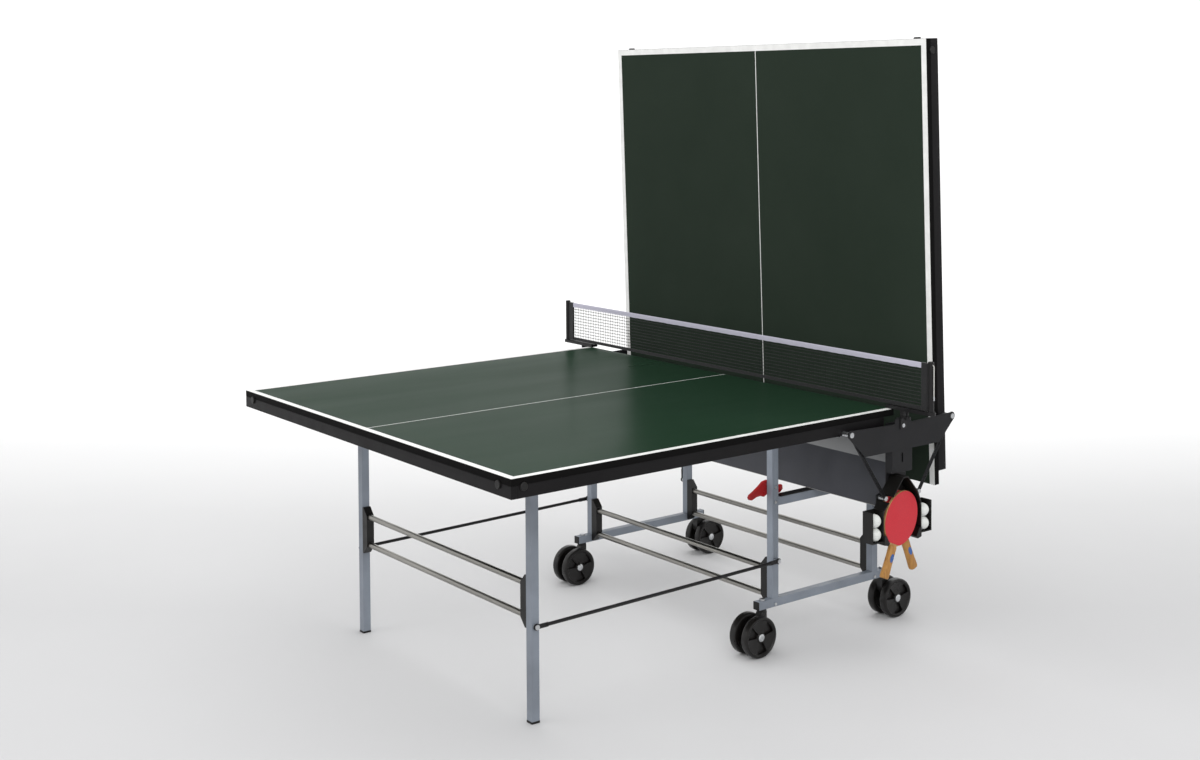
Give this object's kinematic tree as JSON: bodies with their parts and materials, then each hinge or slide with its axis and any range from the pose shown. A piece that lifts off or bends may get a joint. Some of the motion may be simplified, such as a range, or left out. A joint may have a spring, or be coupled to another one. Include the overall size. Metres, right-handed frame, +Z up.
{
  "type": "table tennis table",
  "caption": "Folding, rolling indoor table tennis table in playback position: one half flat on its legs, the other folded up behind the net, with casters and a bat holder.",
  "frame": {"origin": "on the floor, under the middle of the table's outline in playback position; the net line is 0.50625 m along +X from it", "axes": "+X along the table from the flat half towards the half that is folded up, +Y across the table, +Z up"},
  "size_m": [1.7374, 1.836, 1.871],
  "materials": {
    "playing_board": "satin green lacquer with printed white lines and a black edge band",
    "rail_steel": "anthracite powder coat",
    "frame_steel": "blue-grey powder coat",
    "plate_steel": "dark grey powder coat",
    "zinc_steel": "bright zinc plate",
    "bar_steel": "dull grey drawn tube",
    "black_plastic": "fine moulded grain",
    "red_plastic": "moulded, satin",
    "net_cloth": "knotted cord mesh",
    "tape_cloth": "woven cotton tape",
    "cord_white": "braided cord",
    "bat_mix": "pimpled rubber sheets on a plywood blade with a wooden grip",
    "ball_plastic": "satin celluloid-like shell"
  },
  "bodies": {
    "undercarriage": {"base_tubes": "frame_steel", "frame_caps": "black_plastic", "front_uprights": "frame_steel", "rear_uprights": "frame_steel", "mid_bars": "frame_steel", "frame_bars": "bar_steel", "frame_gussets": "black_plastic", "frame_bolts": "zinc_steel", "side_plate_left": "plate_steel", "side_plate_right": "plate_steel", "post_left": "plate_steel", "post_right": "plate_steel", "plate_struts": "plate_steel", "plate_bolts": "zinc_steel", "cross_beam": "plate_steel", "holder": "black_plastic", "net_bracket_left": "plate_steel", "net_bracket_right": "plate_steel", "net": "net_cloth", "net_tape": "tape_cloth", "net_cord": "cord_white"},
    "front_half": {"front_board": "playing_board", "front_end_rail": "rail_steel", "front_side_rails": "rail_steel", "front_corner_plugs": "black_plastic", "front_brackets": "zinc_steel"},
    "rear_half": {"rear_board": "playing_board", "rear_end_rail": "rail_steel", "rear_side_rails": "rail_steel", "rear_corner_plugs": "black_plastic", "rear_brackets": "zinc_steel"},
    "front_leg_frame": {"front_leg_left": "frame_steel", "front_leg_right": "frame_steel", "front_leg_bars": "bar_steel", "front_leg_gussets": "black_plastic", "front_foot_caps": "black_plastic"},
    "rear_leg_frame": {"rear_leg_left": "frame_steel", "rear_leg_right": "frame_steel", "rear_leg_bars": "bar_steel", "rear_leg_gussets": "black_plastic", "rear_foot_caps": "black_plastic"},
    "front_link_pair": {"front_links": "plate_steel"},
    "rear_link_pair": {"rear_links": "plate_steel"},
    "front_latch_lever": {"front_latch": "red_plastic"},
    "rear_latch_lever": {"rear_latch": "red_plastic"},
    "front_bat": {"bat_front": "bat_mix"},
    "rear_bat": {"bat_rear": "bat_mix"},
    "caster_1": {"caster_fork_1": "black_plastic"},
    "wheel_pair_1": {"caster_wheels_1": "black_plastic"},
    "loose_ball_1": {"ball_1": "ball_plastic"},
    "caster_2": {"caster_fork_2": "black_plastic"},
    "wheel_pair_2": {"caster_wheels_2": "black_plastic"},
    "loose_ball_2": {"ball_2": "ball_plastic"},
    "caster_3": {"caster_fork_3": "black_plastic"},
    "wheel_pair_3": {"caster_wheels_3": "black_plastic"},
    "loose_ball_3": {"ball_3": "ball_plastic"},
    "caster_4": {"caster_fork_4": "black_plastic"},
    "wheel_pair_4": {"caster_wheels_4": "black_plastic"},
    "loose_ball_4": {"ball_4": "ball_plastic"}
  },
  "joints": [
    {"name": "front_fold", "type": "hinge", "parent": "undercarriage", "child": "front_half", "pos_m": [0.28825, 0, 0.715], "axis": [0, 1, 0], "range_deg": [0, 91.87]},
    {"name": "rear_fold", "type": "hinge", "parent": "undercarriage", "child": "rear_half", "pos_m": [0.72425, 0, 0.715], "axis": [0, 1, 0], "range_deg": [0, 91.87]},
    {"name": "front_leg_hinge", "type": "hinge", "parent": "front_half", "child": "front_leg_frame", "pos_m": [-0.60375, 0, 0.703], "axis": [0, 1, 0], "range_deg": [-92.37, 0.5]},
    {"name": "rear_leg_hinge", "type": "hinge", "parent": "rear_half", "child": "rear_leg_frame", "pos_m": [0.70714, 0, 1.60692], "axis": [0, 1, 0], "range_deg": [-92.37, 0.5]},
    {"name": "front_link_pivot", "type": "hinge", "parent": "undercarriage", "child": "front_link_pair", "pos_m": [0.28825, 0, 0.278], "axis": [0, 1, 0], "range_deg": [-0.5, 92.37]},
    {"name": "rear_link_pivot", "type": "hinge", "parent": "undercarriage", "child": "rear_link_pair", "pos_m": [0.72425, 0, 0.278], "axis": [0, 1, 0], "range_deg": [-0.5, 92.37]},
    {"name": "front_latch_pivot", "type": "hinge", "parent": "undercarriage", "child": "front_latch_lever", "pos_m": [0.28825, -0.4445, 0.502], "axis": [0, 1, 0], "range_deg": [-8, 25]},
    {"name": "rear_latch_pivot", "type": "hinge", "parent": "undercarriage", "child": "rear_latch_lever", "pos_m": [0.72425, -0.4445, 0.502], "axis": [0, 1, 0], "range_deg": [-25, 8]},
    {"name": "front_bat_lift_off", "type": "slide", "parent": "undercarriage", "child": "front_bat", "axis": [0, -1, 0], "range_m": [0, 0.16]},
    {"name": "rear_bat_lift_off", "type": "slide", "parent": "undercarriage", "child": "rear_bat", "axis": [0, -1, 0], "range_m": [0, 0.1]},
    {"name": "swivel_1", "type": "hinge", "parent": "undercarriage", "child": "caster_1", "pos_m": [0.24325, -0.463, 0.135], "axis": [0, 0, 1], "continuous": true},
    {"name": "roll_1", "type": "hinge", "parent": "caster_1", "child": "wheel_pair_1", "pos_m": [0.20625, -0.463, 0.0625], "axis": [0, 1, 0], "continuous": true},
    {"name": "swivel_2", "type": "hinge", "parent": "undercarriage", "child": "caster_2", "pos_m": [0.76925, -0.463, 0.135], "axis": [0, 0, 1], "continuous": true},
    {"name": "roll_2", "type": "hinge", "parent": "caster_2", "child": "wheel_pair_2", "pos_m": [0.80625, -0.463, 0.0625], "axis": [0, 1, 0], "continuous": true},
    {"name": "swivel_3", "type": "hinge", "parent": "undercarriage", "child": "caster_3", "pos_m": [0.24325, 0.463, 0.135], "axis": [0, 0, 1], "continuous": true},
    {"name": "roll_3", "type": "hinge", "parent": "caster_3", "child": "wheel_pair_3", "pos_m": [0.20625, 0.463, 0.0625], "axis": [0, 1, 0], "continuous": true},
    {"name": "swivel_4", "type": "hinge", "parent": "undercarriage", "child": "caster_4", "pos_m": [0.76925, 0.463, 0.135], "axis": [0, 0, 1], "continuous": true},
    {"name": "roll_4", "type": "hinge", "parent": "caster_4", "child": "wheel_pair_4", "pos_m": [0.80625, 0.463, 0.0625], "axis": [0, 1, 0], "continuous": true},
    {"name": "ball_1_lift_off", "type": "slide", "parent": "undercarriage", "child": "loose_ball_1", "axis": [0, -1, 0], "range_m": [0, 0.1]},
    {"name": "ball_2_lift_off", "type": "slide", "parent": "undercarriage", "child": "loose_ball_2", "axis": [0, -1, 0], "range_m": [0, 0.1]},
    {"name": "ball_3_lift_off", "type": "slide", "parent": "undercarriage", "child": "loose_ball_3", "axis": [0, -1, 0], "range_m": [0, 0.1]},
    {"name": "ball_4_lift_off", "type": "slide", "parent": "undercarriage", "child": "loose_ball_4", "axis": [0, -1, 0], "range_m": [0, 0.1]}
  ],
  "couplings": [
    {"joint": "front_leg_hinge", "follows": "front_fold", "ratio": -1},
    {"joint": "front_link_pivot", "follows": "front_fold", "ratio": 1},
    {"joint": "rear_leg_hinge", "follows": "rear_fold", "ratio": -1},
    {"joint": "rear_link_pivot", "follows": "rear_fold", "ratio": 1},
    {"joint": "rear_bat_lift_off", "follows": "front_bat_lift_off", "ratio": 0.5}
  ]
}
